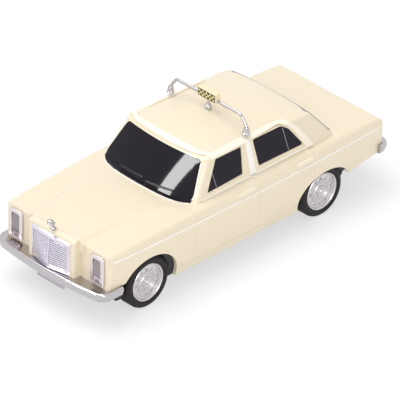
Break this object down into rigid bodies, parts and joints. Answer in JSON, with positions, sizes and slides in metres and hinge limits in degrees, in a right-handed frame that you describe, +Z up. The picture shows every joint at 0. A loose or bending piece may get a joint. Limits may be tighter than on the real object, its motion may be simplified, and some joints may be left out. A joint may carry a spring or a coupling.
{
  "type": "toy taxi",
  "caption": "Die-cast toy saloon taxi with a roof sign bar, upright grille, wrap-round bumpers and free-rolling wheels.",
  "frame": {"origin": "on the ground, below the middle of the car's length and width", "axes": "+X forward, +Y to the car's left, +Z up"},
  "size_m": [0.1234, 0.0466, 0.0462],
  "materials": {
    "cream_paint": "gloss",
    "black_glass": "gloss",
    "chrome": "polished",
    "lamp_lens": "gloss",
    "red_lamp": "gloss",
    "white_plate": "satin",
    "sign_box": "gloss",
    "sign_panel": "matte",
    "black_plastic": "satin",
    "steel": "satin",
    "tyre": "matte"
  },
  "bodies": {
    "body": {"body_shell": "cream_paint", "glazing": "black_glass", "radiator_grille": "chrome", "hood_finial": "chrome", "headlamp_bezel_left": "chrome", "headlamp_bezel_right": "chrome", "headlamp_lens_left": "lamp_lens", "headlamp_lens_right": "lamp_lens", "tail_lamp_left": "red_lamp", "tail_lamp_right": "red_lamp", "front_bumper": "chrome", "rear_bumper": "chrome", "front_number_plate": "white_plate", "roof_bar": "chrome", "sign_box": "sign_box", "sign_panel": "sign_panel", "base_plate": "black_plastic", "front_axle_keeper": "black_plastic", "rear_axle_keeper": "black_plastic"},
    "front_wheelset": {"front_axle": "steel", "rim_front_left": "chrome", "rim_front_right": "chrome", "tyre_front_left": "tyre", "tyre_front_right": "tyre"},
    "rear_wheelset": {"rear_axle": "steel", "rim_rear_left": "chrome", "rim_rear_right": "chrome", "tyre_rear_left": "tyre", "tyre_rear_right": "tyre"}
  },
  "joints": [
    {"name": "front_axle_spin", "type": "hinge", "parent": "body", "child": "front_wheelset", "pos_m": [0.03975, 0, 0.00837], "axis": [0, 1, 0], "continuous": true},
    {"name": "rear_axle_spin", "type": "hinge", "parent": "body", "child": "rear_wheelset", "pos_m": [-0.03265, 0, 0.00837], "axis": [0, 1, 0], "continuous": true}
  ]
}
